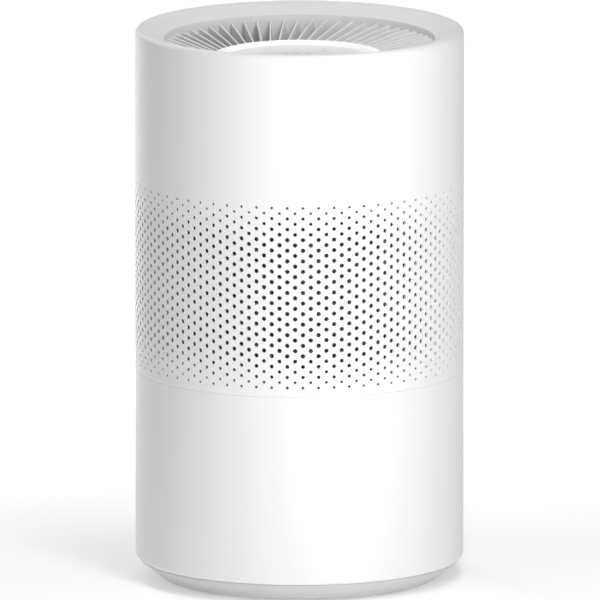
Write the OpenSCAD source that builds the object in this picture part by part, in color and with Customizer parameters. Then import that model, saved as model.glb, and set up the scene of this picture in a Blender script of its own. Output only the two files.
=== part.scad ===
/* [Body] */
// Outside diameter of both casings
body_d = 220; // [183:1:264]
// Overall height, from the feet to the top of the rim
body_h = 372.6; // [310:0.1:450]
// Wall of both casings
wall = 2.6; // [2:0.1:3.2]
// Height of the seam between the lower and the upper casing
seam_z = 141.8; // [115:0.1:172]
// Gap that shows between two outer shells
seam_gap = 0.3; // [0.2:0.05:0.6]
// Rounding of the rim's outer edge
rim_round = 4; // [2:0.1:5]
// Width of the slope from the rim down to the outlet
rim_slope_w = 15.4; // [12:0.1:20]
// Height that the slope loses
rim_slope_drop = 6.8; // [5:0.1:9]
// Depth of the straight lip below the slope
throat_lip = 3.4; // [2:0.1:5]
// Rounding of the lower casing's bottom edge
skirt_round = 2.4; // [1:0.1:3]

/* [Intake band] */
// Columns of intake holes around the casing
intake_cols = 33; // [24:1:36]
// Diameter of one intake hole
intake_hole_d = 5.4; // [4:0.1:6.4]
// Height between neighbouring rows of holes
intake_row_pitch = 10.75; // [9:0.05:14]
// Plain wall between the seam and the first holes
intake_margin = 5.4; // [4:0.1:10]

/* [Outlet grille] */
// Number of swirl vanes
vane_count = 60; // [40:1:66]
// Thickness of a vane
vane_t = 1.2; // [0.8:0.1:1.6]
// Angle by which a vane trails between its inner and outer end
vane_swirl = 7; // [0:0.5:12]
// Height that the vanes lose towards the disc
vane_fall = 8.4; // [5:0.1:10]
// Depth of a vane at its inner end
vane_depth = 7; // [5:0.1:10]

/* [Control disc] */
// Diameter of the control disc
disc_d = 113; // [94:1:136]
// Width of the raised ring around the panel
disc_rim_w = 4; // [3:0.1:6]
// Depth of the disc's top below the rim of the body
disc_drop = 17.8; // [15:0.1:20]
// Depth of the panel below its raised ring
panel_drop = 3; // [2:0.1:4]

/* [Base cover] */
// Height of the bevelled cover, from the floor to its seam
base_h = 13.9; // [13:0.1:17]
// Inset of the cover's top edge from the casing
base_inset = 2.5; // [1:0.1:4]
// Further inset of the cover's bottom edge
base_bevel = 14.8; // [10:0.1:18]
// Height of the rubber feet below the cover
foot_h = 1.2; // [0.8:0.1:2]
// Angle that the cover turns from locked to open
twist_angle = 20; // [16:1:24]
// Number of bayonet lugs
lug_count = 3; // [2:1:4]
// Angle that one lug spans
lug_angle = 14; // [10:1:18]
// Radius of the grip recess under the cover
grip_r = 34; // [28:1:40]

/* [Filter] */
// Space between the casing and the filter
filter_gap = 19.4; // [18:0.1:24]
// Radius of the clean air bore in the filter
filter_bore_r = 52; // [50:0.5:53]
// Number of pleats
pleat_count = 72; // [48:1:90]
// Thickness of the pleated sheet
pleat_t = 0.9; // [0.6:0.1:1.2]

/* [Fan] */
// Height of the fan chamber, from its floor to the rim of the body
fan_stack_h = 98.6; // [92:0.1:118]
// Depth of the motor plate's top below the rim of the body
hub_drop = 44.6; // [42:0.1:50]
// Space between the impeller and the wall of the fan housing
fan_gap = 17; // [10:0.5:20]
// Number of impeller blades
blade_count = 9; // [7:1:13]
// Radius of the air inlet
inlet_r = 45; // [40:0.5:46]
// Number of guide vanes above the impeller
guide_count = 11; // [7:2:15]
// Radius of the motor shaft
shaft_r = 2.5; // [2:0.1:3]
// Radial clearance of the shaft in its bearings
shaft_fit = 0.05; // [0.02:0.01:0.1]

/* [Hidden] */
$fn = 96;

eps = 0.01;
// Clearance between two pieces that only sit next to each other
slip = 0.15;
// Clearance between pieces that move past each other
run_gap = 0.4;

body_r = body_d / 2;
inner_r = body_r - wall;
throat_r = body_r - rim_round - rim_slope_w;
ridge_r = body_r - rim_round;
throat_top_z = body_h - rim_slope_drop;
throat_z = throat_top_z - throat_lip;
upper_z = seam_z + seam_gap / 2;
lower_top_z = seam_z - seam_gap / 2;

// Tongue of the lower casing behind the seam
tongue_t = 2;
tongue_h = 5;
tongue_r = inner_r - slip;

// Screw columns that hold the casings and the fan chamber together
boss_r = 4;
boss_pos_r = inner_r - boss_r - 3;
boss_h = 14.6;
screw_r = 1.5;
screw_hole_r = 1.7;
pilot_r = 1.25;
head_r = 2.8;
head_h = 2;
screw_angles = [45, 135, 225, 315];

// Floor of the fan chamber
deck_t = 2.6;
deck_z = body_h - fan_stack_h;
deck_top_z = deck_z + deck_t;
flange_t = 2.4;

// Rows of the intake band lie between the seam and the fan chamber's floor
band_low_z = seam_z + intake_margin + intake_hole_d / 2;
band_clear = 3.1;
band_high_z = deck_z - band_clear - intake_hole_d / 2;
intake_rows = floor((band_high_z - band_low_z) / intake_row_pitch) + 1;
intake_step = (band_high_z - band_low_z) / (intake_rows - 1);

// Pin vents in a row down the rim's slope, above the air sensor
vent_r = 0.5;
vent_count = 5;
vent_pitch = 1.7;
vent_pos_r = ridge_r - 1;
sensor_angle = 158;

// Base cover and its bayonet
cover_top_z = base_h - seam_gap / 2;
lower_z = base_h + seam_gap / 2;
cover_r = body_r - base_inset;
cover_low_r = cover_r - base_bevel;
cover_t = 2.4;
ledge_t = 3;
ledge_top_z = lower_z + ledge_t;
lug_r = inner_r - 2.6;
ledge_r = lug_r - 3.6;
collar_r = ledge_r - run_gap - 0.2;
collar_t = 2.8;
lug_z = ledge_top_z + run_gap;
lug_t = 2.6;
collar_top_z = lug_z + lug_t + 0.8;
first_lug_angle = 30;
lug_angles = [for (i = [0:lug_count - 1]) first_lug_angle + i * 360 / lug_count];
slot_spare = 1;
filter_z = ledge_top_z + 1;
rest_top_z = filter_z - 0.3;
rest_r = 70;
rest_t = 2.2;
rib_count = 6;
grip_depth = 9;
grip_bar_w = 15;
foot_r = cover_low_r - 5;
foot_w = 12;
foot_angle = 16;
foot_sink = 1;
foot_angles = [45, 135, 225, 315];

// Door switch above the collar
switch_angle = 120;
switch_z = collar_top_z + 7;
switch_h = 9;
switch_w = 12;
switch_d = 6;
plunger_r = 1.2;
plunger_fit = 0.06;
plunger_travel = 1.5;
ramp_step = 2;
ramp_top_z = collar_top_z + 3;
plunger_pos_r = collar_r - collar_t / 2;

// Filter cartridge
filter_r = inner_r - filter_gap;
cap_t = 2.4;
cap_lip = 5;
gasket_h = 4.5;
filter_top_z = deck_z - gasket_h;
media_low_z = filter_z + cap_t;
media_high_z = filter_top_z - cap_t;
mesh_t = 0.8;
mesh_r = filter_r - cap_t;
pleat_out_r = mesh_r - mesh_t - 0.3;
carbon_t = 5;
pleat_in_r = filter_bore_r + carbon_t + 1.2;

// Outlet grille and fan housing
housing_t = 2;
grille_seat_r = throat_r + 1.4;
vane_out_r = throat_r - 2.2;
disc_r = disc_d / 2;
hub_t = 2;
hub_r = disc_r + 2.3;
vane_in_r = hub_r;
vane_low_z = throat_z - vane_fall - vane_depth;
hub_z = body_h - hub_drop;
hub_floor_t = 2.4;
hub_top_z = vane_low_z - 3;
guide_z = hub_z + 3;
guide_t = 1.8;
guide_lean = 14;
duct_r = grille_seat_r;

// Control disc
disc_z = body_h - disc_drop;
rim_depth = 3.8;
panel_t = 2.2;
panel_z = disc_z - panel_drop - panel_t;
panel_r = disc_r - disc_rim_w - slip;
panel_dish = 0.6;
guide_plate_t = 3;
board_t = 1.6;
touch_z = panel_z - guide_plate_t - board_t;
cup_t = 2;
cup_r = disc_r - 0.2;

// Motor
plate_r = 28;
plate_t = 2.8;
plate_z = hub_z - plate_t - 0.2;
bearing_r = 7;
bearing_h = 5;
tube_t = 1.6;
motor_h = 23;
motor_low_z = plate_z - motor_h;
tube_r = bearing_r + tube_t;
stator_h = 14;
stator_drop = 19;
stator_z = plate_z - stator_drop;
stator_r = 23;
tooth_count = 12;
magnet_gap = 0.8;
magnet_t = 1.9;
can_t = 1.6;
can_in_r = stator_r + magnet_gap + magnet_t;
can_r = can_in_r + can_t;
can_z = motor_low_z - 2.5;
can_top_z = plate_z - 3;
grommet_r = 3.4;
mount_pos_r = 22;
motor_head_h = 1.6;

// Impeller
dome_t = 2.2;
dome_r = can_r + dome_t;
dome_z = can_z - 2.4;
impeller_r = duct_r - fan_gap;
eye_r = inlet_r + 3.5;
eye_z = deck_top_z + 5.4;
bell_top_z = eye_z + 3;
bell_t = 1.8;
bell_step = 0.3;
bell_h = bell_top_z - deck_z - bell_step;
bell_mouth_r = inlet_r + bell_h;
guard_r = bell_mouth_r + 3;
guard_pitch = 8;
guard_wire_w = 1.4;
guard_t = 2;
shroud_t = 1.6;
shroud_out_z = eye_z + 17;
back_z = can_top_z - 1.4;
back_t = 2;
blade_t = 1.6;
blade_in_r = dome_r + 8;
blade_bend_r = impeller_r * 0.62;
nut_h = 4.5;

// Electronics
pcb_w = 64;
pcb_h = 44;
pcb_z = deck_top_z + 8;
pcb_y = duct_r + housing_t + 3.6;
standoff_x = 26;
sensor_w = 34;
sensor_h = 30;
sensor_t = 8.6;
sensor_drop = 46;
sensor_z = throat_z - sensor_drop;
sensor_pos_r = duct_r + housing_t + 1;
jack_z = 45;
recess_r = 7;
recess_depth = 4.5;
recess_t = 2;
jack_w = 11;
jack_h = 10;
jack_depth = 12;
jack_back_t = 3;
jack_bore_r = 2.75;
jack_pin_r = 1;
jack_nose_r = 4;
lead_r = 1.5;
lead_bend_r = 5;
lead_x = jack_w / 2 + lead_bend_r;
lead_y = body_r - recess_depth - recess_t - 5;

// A ring with a square section
module ring(outer, inner, low, high) {
  difference() {
    translate([0, 0, low]) cylinder(h = high - low, r = outer);
    translate([0, 0, low - 1]) cylinder(h = high - low + 2, r = inner);
  }
}

// A part of such a ring, centred on one angle
module sector(outer, inner, low, high, angle, span) {
  rotate([0, 0, angle - span / 2])
    rotate_extrude(angle = span)
      translate([inner, low]) square([outer - inner, high - low]);
}

// What a convex rounding of radius r takes off a profile's corner
module corner_cut(x, y, r, side_x, side_y) {
  translate([x, y]) difference() {
    translate([side_x > 0 ? -r : -1, side_y > 0 ? -r : -1]) square(r + 1);
    translate([-side_x * r, -side_y * r]) circle(r = r);
  }
}

module at_ring(angles, radius) {
  for (a = angles) rotate([0, 0, a]) translate([radius, 0, 0]) children();
}

// A pan head screw that points up, with its head below low
module screw(low, length) {
  translate([0, 0, low - head_h]) cylinder(h = head_h, r = head_r, $fn = 32);
  translate([0, 0, low - eps]) cylinder(h = length + eps, r = screw_r, $fn = 32);
}

// A screw column with its rib to the wall
module boss(low, high, hole_r, rib_high) {
  difference() {
    union() {
      translate([0, 0, low]) cylinder(h = high - low, r = boss_r, $fn = 32);
      translate([boss_r - 1, -1, low]) cube([inner_r - boss_pos_r - boss_r + 1.5, 2, rib_high - low]);
    }
    translate([0, 0, low - 1]) cylinder(h = high - low + 2, r = hole_r, $fn = 32);
  }
}

module upper_casing() {
  top_t = wall * 1.1;
  slope = rim_slope_drop / rim_slope_w;
  function under(r) = body_h - (ridge_r - r) * slope - top_t;
  lip_r = throat_r + wall;
  color("white") difference() {
    union() {
      rotate_extrude($fn = 180) difference() {
        polygon([
          [inner_r, upper_z], [body_r, upper_z], [body_r, body_h], [ridge_r, body_h],
          [throat_r, throat_top_z], [throat_r, throat_z], [lip_r, throat_z],
          [lip_r, under(lip_r)], [ridge_r, under(ridge_r)],
          [inner_r, body_h - rim_round - 0.2]
        ]);
        corner_cut(body_r, body_h, rim_round, 1, 1);
      }
      at_ring(screw_angles, boss_pos_r) {
        boss(seam_z + tongue_h + slip, seam_z + tongue_h + boss_h, pilot_r, seam_z + tongue_h + boss_h);
        boss(deck_top_z + flange_t, deck_top_z + flange_t + boss_h, pilot_r,
          deck_top_z + flange_t + boss_h);
      }
    }
    for (row = [0:intake_rows - 1], col = [0:intake_cols - 1])
      rotate([0, 0, (col + (row % 2) / 2) * 360 / intake_cols])
        translate([inner_r - 1.5, 0, band_low_z + row * intake_step])
          rotate([0, 90, 0]) cylinder(h = wall + 3, r = intake_hole_d / 2, $fn = 24);
    at_ring([sensor_angle], vent_pos_r) for (i = [0:vent_count - 1])
      translate([-i * vent_pitch, 0, under(vent_pos_r) - rim_slope_drop])
        cylinder(h = 2 * rim_slope_drop, r = vent_r, $fn = 24);
  }
}

module lower_casing() {
  recess_floor = body_r - recess_depth - recess_t;
  color("white") difference() {
    union() {
      rotate_extrude($fn = 180) difference() {
        polygon([
          [inner_r, ledge_top_z], [ledge_r, ledge_top_z], [ledge_r, lower_z], [body_r, lower_z],
          [body_r, lower_top_z], [tongue_r, lower_top_z], [tongue_r, seam_z + tongue_h],
          [tongue_r - tongue_t, seam_z + tongue_h], [tongue_r - tongue_t, lower_top_z - tongue_h],
          [inner_r, lower_top_z - tongue_h - tongue_t]
        ]);
        corner_cut(body_r, lower_z, skirt_round, 1, -1);
      }
      at_ring(screw_angles, boss_pos_r)
        boss(seam_z - boss_h, seam_z + tongue_h, screw_hole_r, lower_top_z - 1);
      for (a = lug_angles)
        sector(inner_r + 0.5, ledge_r + 1, ledge_top_z - 1, collar_top_z + 1, a + lug_angle / 2 + 2, 2);
      rotate([-90, 0, 0]) translate([0, -jack_z, recess_floor])
        cylinder(h = recess_depth, r = recess_r + recess_t, $fn = 48);
      switch_bracket();
    }
    for (a = lug_angles)
      sector(lug_r + 0.6, ledge_r - 1, lower_z - 1, ledge_top_z + eps, a - twist_angle,
        lug_angle + 2 * slot_spare);
    rotate([-90, 0, 0]) translate([0, -jack_z, recess_floor + recess_t])
      cylinder(h = recess_depth + 5, r = recess_r, $fn = 48);
    rotate([-90, 0, 0]) translate([0, -jack_z, recess_floor - 1])
      cylinder(h = recess_t + 2, r = jack_nose_r + slip, $fn = 48);
  }
}

// Two ears that carry the door switch
module switch_bracket() {
  ear_low = plunger_pos_r + switch_d / 2 - 1;
  rotate([0, 0, switch_angle]) for (side = [-1, 1])
    translate([ear_low, side * (switch_w / 2 + 1) - 1, switch_z])
      cube([inner_r - ear_low + 0.6, 2, switch_h]);
}

module base_cover() {
  slant = cover_t / cos(atan(base_bevel / (cover_top_z - foot_h)));
  inner_low_r = cover_low_r - 0.2;
  color([0.84, 0.85, 0.86]) difference() {
    union() {
      rotate_extrude($fn = 180) polygon([
        [0, foot_h], [cover_low_r, foot_h], [cover_r, cover_top_z - 1.2], [cover_r, cover_top_z],
        [collar_r, cover_top_z], [collar_r, collar_top_z], [collar_r - collar_t, collar_top_z],
        [collar_r - collar_t, cover_top_z - cover_t], [inner_low_r, foot_h + slant],
        [0, foot_h + slant]
      ]);
      for (a = lug_angles)
        sector(lug_r, collar_r - 1, lug_z, lug_z + lug_t, a, lug_angle);
      ring(rest_r, rest_r - rest_t, foot_h + 1, rest_top_z);
      for (i = [0:rib_count - 1]) rotate([0, 0, i * 360 / rib_count])
        translate([grip_r + 1, -rest_t / 2, foot_h + 1])
          cube([inner_low_r - grip_r - 2, rest_t, cover_top_z - foot_h - 1]);
      translate([0, 0, foot_h + 1]) cylinder(h = grip_depth + cover_t - 1, r = grip_r + cover_t);
      interlock_ramp();
    }
    difference() {
      translate([0, 0, foot_h - 1]) cylinder(h = grip_depth + 1, r = grip_r);
      translate([-grip_bar_w / 2, -grip_r - 1, foot_h - 2])
        cube([grip_bar_w, 2 * grip_r + 2, grip_depth + 4]);
    }
    for (a = foot_angles)
      sector(foot_r + slip, foot_r - foot_w - slip, foot_h - 1, foot_h + foot_sink, a,
        foot_angle + 0.4);
  }
}

// Ramp on the collar that lets the door switch's plunger down as the cover turns open
module interlock_ramp() {
  steps = floor(twist_angle / ramp_step) + 1;
  for (i = [0:steps]) {
    span = (i + 1.5) * ramp_step;
    fall = i * plunger_travel / steps;
    sector(collar_r - 0.4, collar_r - collar_t + 0.4, collar_top_z - 1, ramp_top_z - fall,
      switch_angle - 1.5 * ramp_step + span / 2, span);
  }
}

module rubber_feet() {
  color([0.55, 0.56, 0.58]) for (a = foot_angles)
    sector(foot_r, foot_r - foot_w, 0, foot_h + foot_sink, a, foot_angle);
}

module outlet_grille() {
  outer_in_r = vane_out_r - 0.6;
  color("white") union() {
    ring(grille_seat_r, outer_in_r, vane_low_z, throat_z - slip);
    ring(vane_in_r, disc_r + 0.3, hub_top_z, throat_z - vane_fall);
    intersection() {
      rotate_extrude() polygon([
        [vane_in_r - 0.4, vane_low_z], [vane_out_r, vane_low_z],
        [vane_out_r, throat_z - slip - 0.2], [vane_in_r - 0.4, throat_z - vane_fall - 0.2]
      ]);
      for (i = [0:vane_count - 1]) rotate([0, 0, i * 360 / vane_count]) swirl_vane();
    }
  }
}

module swirl_vane() {
  start = [vane_in_r - 1, 0];
  end = [vane_out_r * cos(vane_swirl), -vane_out_r * sin(vane_swirl)];
  heading = atan2(end.y - start.y, end.x - start.x);
  length = norm(end - start);
  translate([start.x, start.y, vane_low_z - 1]) rotate([0, 0, heading])
    translate([0, -vane_t / 2, 0]) cube([length + 1, vane_t, throat_z - vane_low_z + 1]);
}

module panel_rim() {
  color("white") rotate_extrude() difference() {
    translate([disc_r - disc_rim_w, disc_z - rim_depth]) square([disc_rim_w, rim_depth]);
    corner_cut(disc_r, disc_z, 1.4, 1, 1);
    corner_cut(disc_r - disc_rim_w, disc_z, 1.2, -1, 1);
  }
}

module control_panel() {
  top_z = panel_z + panel_t;
  color([0.93, 0.93, 0.94]) rotate_extrude() polygon([
    [0, panel_z], [panel_r, panel_z], [panel_r, top_z], [panel_r - 6, top_z - panel_dish],
    [0, top_z - panel_dish]
  ]);
}

module light_guide() {
  color([0.95, 0.97, 1]) translate([-22, -panel_r * 0.55, panel_z - guide_plate_t])
    cube([44, 11, guide_plate_t]);
}

module touch_board() {
  color("darkgreen") translate([0, 0, touch_z])
    cylinder(h = board_t, r = cup_r - cup_t - 1);
}

module disc_housing() {
  low = hub_z + hub_floor_t;
  floor_z = low + motor_head_h + 0.2;
  color("gainsboro") union() {
    ring(cup_r, cup_r - cup_t, low, disc_z - rim_depth);
    ring(cup_r - cup_t + 0.5, cup_r - 8, touch_z - 2, touch_z);
    translate([0, 0, floor_z]) cylinder(h = cup_t, r = cup_r - 0.5);
  }
}

module fan_housing() {
  wall_top_z = vane_low_z - slip;
  color("whitesmoke") difference() {
    union() {
      ring(duct_r + housing_t, duct_r, deck_top_z, wall_top_z);
      ring(duct_r + housing_t + 2.4, duct_r, deck_top_z, deck_top_z + flange_t + 1);
      at_ring(screw_angles, boss_pos_r) {
        translate([0, 0, deck_top_z]) cylinder(h = flange_t, r = boss_r, $fn = 32);
        translate([duct_r + 1 - boss_pos_r, -boss_r, deck_top_z])
          cube([boss_pos_r - duct_r - 1, 2 * boss_r, flange_t]);
      }
      ring(hub_r, hub_r - hub_t, hub_z, hub_top_z);
      translate([0, 0, hub_z]) cylinder(h = hub_floor_t, r = hub_r);
      for (i = [0:guide_count - 1]) rotate([0, 0, i * 360 / guide_count]) guide_vane();
      for (side = [-1, 1]) {
        standoff(side * standoff_x, pcb_z + 4);
        standoff(side * standoff_x, pcb_z + pcb_h - 4);
        rotate([0, 0, sensor_angle])
          translate([duct_r + 1, side * (sensor_w / 2 - 3) - 1, sensor_z + 2])
            cube([sensor_pos_r - duct_r - 1, 2, sensor_h - 4]);
      }
    }
    at_ring(screw_angles, boss_pos_r)
      translate([0, 0, deck_top_z - 1]) cylinder(h = flange_t + 2, r = screw_hole_r, $fn = 32);
    at_ring(screw_angles, mount_pos_r)
      translate([0, 0, hub_z - 1]) cylinder(h = hub_floor_t + 2, r = grommet_r, $fn = 32);
    for (x = [-1, 1] * standoff_x, z = [4, pcb_h - 4])
      rotate([-90, 0, 0]) translate([x, -pcb_z - z, duct_r + 1])
        cylinder(h = pcb_y - duct_r, r = pilot_r, $fn = 32);
  }
}

module standoff(x, z) {
  rotate([-90, 0, 0]) translate([x, -z, duct_r - 3.2])
    cylinder(h = pcb_y - duct_r + 3.2, r = 3, $fn = 32);
}

// A leaning blade that turns the swirling air upwards and carries the hub
module guide_vane() {
  translate([hub_r - 0.5, 0, guide_z]) rotate([guide_lean, 0, 0])
    cube([duct_r - hub_r + 1.2, guide_t, hub_top_z - guide_z]);
}

module fan_deck() {
  color("whitesmoke") difference() {
    rotate_extrude() union() {
      translate([bell_mouth_r - 1, deck_z]) square([inner_r - slip - bell_mouth_r + 1, deck_t]);
      intersection() {
        translate([inlet_r - 1, deck_z]) square([bell_h + 1, bell_h + bell_step]);
        translate([bell_mouth_r, bell_top_z]) difference() {
          circle(r = bell_h);
          circle(r = bell_h - bell_t);
        }
      }
    }
    at_ring(screw_angles, boss_pos_r)
      translate([0, 0, deck_z - 1]) cylinder(h = deck_t + 2, r = screw_hole_r, $fn = 32);
    translate([lead_x, lead_y, deck_z - 1]) cylinder(h = deck_t + 2, r = lead_r + 0.6, $fn = 32);
  }
}

module inlet_guard() {
  low = deck_z - guard_t;
  color("silver") union() {
    for (r = [guard_r:-guard_pitch:guard_pitch + 1]) ring(r, r - guard_wire_w, low, deck_z);
    for (a = [0:60:300]) rotate([0, 0, a])
      translate([1.5, -0.8, low]) cube([guard_r - 2, 1.6, guard_t]);
    translate([0, 0, low]) cylinder(h = guard_t, r = 4);
  }
}

module motor_base() {
  color("silver") difference() {
    union() {
      translate([0, 0, plate_z]) cylinder(h = plate_t, r = plate_r);
      translate([0, 0, motor_low_z]) cylinder(h = plate_z - motor_low_z + 1, r = tube_r);
    }
    translate([0, 0, motor_low_z - 1]) cylinder(h = bearing_h + 1, r = bearing_r);
    translate([0, 0, plate_z - bearing_h]) cylinder(h = bearing_h + plate_t + 1, r = bearing_r);
    translate([0, 0, motor_low_z]) cylinder(h = plate_z - motor_low_z, r = shaft_r + 2);
    at_ring(screw_angles, mount_pos_r)
      translate([0, 0, plate_z - 1]) cylinder(h = plate_t + 2, r = pilot_r, $fn = 32);
  }
}

module motor_grommets() {
  color("dimgray") at_ring(screw_angles, mount_pos_r)
    difference() {
      translate([0, 0, hub_z - 0.2]) cylinder(h = hub_floor_t + 0.2, r = grommet_r, $fn = 32);
      translate([0, 0, hub_z - 1]) cylinder(h = hub_floor_t + 2, r = screw_r, $fn = 32);
    }
}

module motor_screws() {
  color("darkgray") at_ring(screw_angles, mount_pos_r)
    translate([0, 0, hub_z + hub_floor_t]) mirror([0, 0, 1]) union() {
      translate([0, 0, -motor_head_h]) cylinder(h = motor_head_h, r = head_r, $fn = 32);
      cylinder(h = hub_floor_t + 0.2, r = screw_r, $fn = 32);
      translate([0, 0, hub_floor_t]) cylinder(h = plate_t, r = pilot_r, $fn = 32);
    }
}

module stator_core() {
  color("slategray") translate([0, 0, stator_z]) linear_extrude(height = stator_h) difference() {
    union() {
      circle(r = 13);
      for (i = [0:tooth_count - 1]) rotate(i * 360 / tooth_count) {
        translate([12, -1.6]) square([stator_r - 13, 3.2]);
        intersection() {
          difference() { circle(r = stator_r); circle(r = stator_r - 2.4); }
          translate([12, -4.6]) square([14, 9.2]);
        }
      }
    }
    circle(r = tube_r);
  }
}

module stator_coils() {
  coil_w = 5.2;
  color("peru") for (i = [0:tooth_count - 1]) rotate([0, 0, i * 360 / tooth_count])
    difference() {
      translate([14.6, -coil_w / 2, stator_z - 1.2]) cube([5.4, coil_w, stator_h + 2.4]);
      translate([14, -1.6, stator_z]) cube([7, 3.2, stator_h]);
    }
}

module motor_bearings() {
  color("lightsteelblue") for (low = [motor_low_z, plate_z - bearing_h])
    ring(bearing_r, shaft_r + shaft_fit, low, low + bearing_h);
}

module motor_shaft() {
  low = dome_z - nut_h - 1.5;
  color("silver") translate([0, 0, low]) cylinder(h = plate_z + 1.5 - low, r = shaft_r);
}

module rotor_can() {
  color("lightslategray") difference() {
    translate([0, 0, can_z]) cylinder(h = can_top_z - can_z, r = can_r);
    translate([0, 0, can_z + can_t]) cylinder(h = can_top_z - can_z, r = can_in_r);
    translate([0, 0, can_z - 1]) cylinder(h = can_t + 2, r = shaft_r);
  }
}

module rotor_magnets() {
  color("dimgray") ring(can_in_r, can_in_r - magnet_t, stator_z - 1, stator_z + stator_h + 1);
}

module impeller() {
  color("gainsboro") difference() {
    union() {
      ring(dome_r, can_r, can_z, back_z + back_t);
      translate([0, 0, dome_z]) cylinder(h = can_z - dome_z, r1 = dome_r - 3, r2 = dome_r);
      ring(impeller_r, dome_r - 1, back_z, back_z + back_t);
      rotate_extrude() polygon([
        [eye_r, eye_z], [eye_r + shroud_t, eye_z], [eye_r + shroud_t, eye_z + 3],
        [impeller_r, shroud_out_z], [impeller_r, shroud_out_z + shroud_t],
        [eye_r, eye_z + 3 + shroud_t]
      ]);
      intersection() {
        rotate_extrude() polygon([
          [dome_r, eye_z + 5], [eye_r + 0.5, eye_z + 5], [impeller_r - 0.2, shroud_out_z + 0.4],
          [impeller_r - 0.2, back_z + 0.5], [dome_r, back_z + 0.5]
        ]);
        for (i = [0:blade_count - 1]) rotate([0, 0, i * 360 / blade_count])
          translate([0, 0, eye_z]) linear_extrude(height = back_z + 1 - eye_z) blade_outline();
      }
    }
    translate([0, 0, dome_z - 1]) cylinder(h = can_z - dome_z + 2, r = shaft_r + 0.1);
  }
}

// A backward curved blade: a stretch of a thin circular band
module blade_outline() {
  intersection() {
    difference() {
      circle(r = impeller_r - 0.4);
      circle(r = blade_in_r);
    }
    translate([blade_in_r * 0.62, -blade_bend_r * 0.8]) difference() {
      circle(r = blade_bend_r);
      circle(r = blade_bend_r - blade_t);
      translate([-2 * body_r, -body_r]) square([2 * body_r, 2 * body_r]);
    }
  }
}

module impeller_nut() {
  color("goldenrod") difference() {
    translate([0, 0, dome_z - nut_h]) cylinder(h = nut_h, r = 5, $fn = 6);
    translate([0, 0, dome_z - nut_h - 1]) cylinder(h = nut_h + 2, r = shaft_r);
  }
}

module main_board() {
  color("seagreen") difference() {
    translate([-pcb_w / 2, pcb_y, pcb_z]) cube([pcb_w, board_t, pcb_h]);
    for (x = [-1, 1] * standoff_x, z = [4, pcb_h - 4])
      rotate([-90, 0, 0]) translate([x, -pcb_z - z, pcb_y - 1])
        cylinder(h = board_t + 2, r = screw_hole_r, $fn = 32);
  }
}

// Capacitor, coil, plug socket and driver chips on the main board
module board_parts() {
  face = pcb_y + board_t;
  color("darkslategray") {
    translate([-14, face, pcb_z + 28]) cube([12, 3.6, 9]);
    translate([4, face, pcb_z + 26]) cube([9, 1.6, 9]);
    translate([5, face, pcb_z + 6]) cube([13, 4.4, 6]);
    rotate([-90, 0, 0]) translate([-13, -pcb_z - 12, face]) cylinder(h = 4.8, r = 4, $fn = 32);
    rotate([-90, 0, 0]) translate([-4, -pcb_z - 18, face]) cylinder(h = 4.4, r = 3, $fn = 32);
  }
}

module board_screws() {
  face = pcb_y + board_t;
  color("darkgray") for (x = [-1, 1] * standoff_x, z = [4, pcb_h - 4])
    rotate([-90, 0, 0]) translate([x, -pcb_z - z, face]) {
      cylinder(h = 1.6, r = head_r, $fn = 32);
      translate([0, 0, -board_t]) cylinder(h = board_t + eps, r = screw_r, $fn = 32);
      translate([0, 0, -board_t - 3]) cylinder(h = 3 + eps, r = pilot_r, $fn = 32);
    }
}

module sensor_module() {
  color("lightgray") rotate([0, 0, sensor_angle])
    translate([sensor_pos_r, -sensor_w / 2, sensor_z]) difference() {
      cube([sensor_t, sensor_w, sensor_h]);
      translate([3, sensor_w / 2 - 7, sensor_h - 6]) cube([3, 14, 7]);
    }
}

module dc_jack() {
  back = body_r - recess_depth - recess_t - jack_depth;
  color("darkslategray") difference() {
    union() {
      translate([-jack_w / 2, back, jack_z - jack_h / 2]) cube([jack_w, jack_depth, jack_h]);
      rotate([-90, 0, 0]) translate([0, -jack_z, back + jack_depth - 1])
        cylinder(h = recess_t + 1, r = jack_nose_r, $fn = 48);
    }
    rotate([-90, 0, 0]) translate([0, -jack_z, back + jack_back_t])
      cylinder(h = jack_depth + recess_t, r = jack_bore_r, $fn = 48);
  }
}

module jack_contact() {
  back = body_r - recess_depth - recess_t - jack_depth;
  color("silver") rotate([-90, 0, 0]) translate([0, -jack_z, back + jack_back_t])
    cylinder(h = jack_depth + recess_t - jack_back_t - 1.5, r = jack_pin_r, $fn = 32);
}

module supply_lead() {
  bend_z = jack_z + lead_bend_r;
  color("crimson") {
    translate([lead_x, lead_y, bend_z]) cylinder(h = pcb_z - bend_z, r = lead_r, $fn = 32);
    translate([lead_x - lead_bend_r, lead_y, bend_z]) rotate([90, 0, 0])
      rotate([0, 0, -90]) rotate_extrude(angle = 90)
        translate([lead_bend_r, 0]) circle(r = lead_r, $fn = 32);
  }
}

module interlock_switch() {
  color("black") rotate([0, 0, switch_angle]) difference() {
    translate([plunger_pos_r - switch_d / 2, -switch_w / 2, switch_z])
      cube([switch_d, switch_w, switch_h]);
    translate([plunger_pos_r, 0, switch_z - 1])
      cylinder(h = switch_h - 1, r = plunger_r + plunger_fit, $fn = 32);
  }
}

module switch_plunger() {
  color("ivory") rotate([0, 0, switch_angle]) translate([plunger_pos_r, 0, ramp_top_z + 0.3])
    cylinder(h = switch_z - ramp_top_z + 3.7, r = plunger_r, $fn = 32);
}

module casing_screws() {
  color("darkgray") at_ring(screw_angles, boss_pos_r) screw(seam_z - boss_h, boss_h + 12);
}

module deck_screws() {
  color("darkgray") at_ring(screw_angles, boss_pos_r) screw(deck_z, 12);
}

module filter_bottom_cap() {
  color("white") rotate_extrude() polygon([
    [0, filter_z], [filter_r, filter_z], [filter_r, media_low_z + cap_lip],
    [filter_r - cap_t, media_low_z + cap_lip], [filter_r - cap_t, media_low_z], [0, media_low_z]
  ]);
}

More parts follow.
